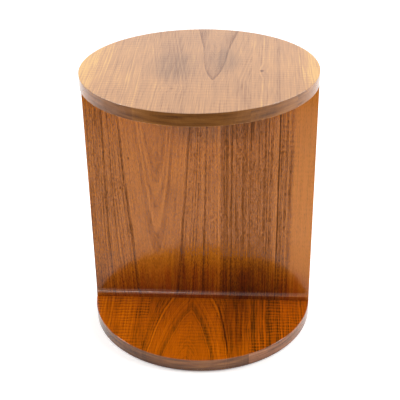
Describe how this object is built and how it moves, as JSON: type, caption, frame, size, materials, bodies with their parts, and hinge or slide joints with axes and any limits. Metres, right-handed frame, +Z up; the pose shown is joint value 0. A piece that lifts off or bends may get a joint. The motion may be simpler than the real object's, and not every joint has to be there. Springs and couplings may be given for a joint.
{
  "type": "drum side table",
  "caption": "Round solid walnut side table: a disc top and a disc base joined by one full-width upright on the diameter, with a coved foot and an open bay to each side.",
  "frame": {"origin": "on the floor under the middle of the table, which is the axis of both discs", "axes": "+Z up, +X along the upright to the right as seen from the front, front bay towards -Y"},
  "size_m": [0.381, 0.381, 0.4572],
  "materials": {
    "top_walnut": "satin lacquer",
    "base_walnut": "satin lacquer",
    "upright_walnut": "satin lacquer",
    "sapwood_walnut": "satin lacquer",
    "tenon_beech": "bare sawn wood",
    "glide_nylon": "matt",
    "screw_steel": "bright zinc"
  },
  "bodies": {
    "root": {"top_board_left": "top_walnut", "top_board_mid_left": "top_walnut", "top_board_mid_right": "top_walnut", "top_board_right": "top_walnut", "base_board_left": "base_walnut", "base_board_middle": "base_walnut", "base_board_right": "base_walnut", "upright_board_left": "upright_walnut", "upright_board_middle": "upright_walnut", "upright_board_right": "sapwood_walnut", "top_tenon_1": "tenon_beech", "top_tenon_2": "tenon_beech", "top_tenon_3": "tenon_beech", "top_tenon_4": "tenon_beech", "top_tenon_5": "tenon_beech", "base_tenon_1": "tenon_beech", "base_tenon_2": "tenon_beech", "base_tenon_3": "tenon_beech", "base_tenon_4": "tenon_beech", "base_tenon_5": "tenon_beech", "glide_front_left": "glide_nylon", "glide_front_right": "glide_nylon", "glide_rear_left": "glide_nylon", "glide_rear_right": "glide_nylon", "glide_screws": "screw_steel"}
  },
  "joints": []
}
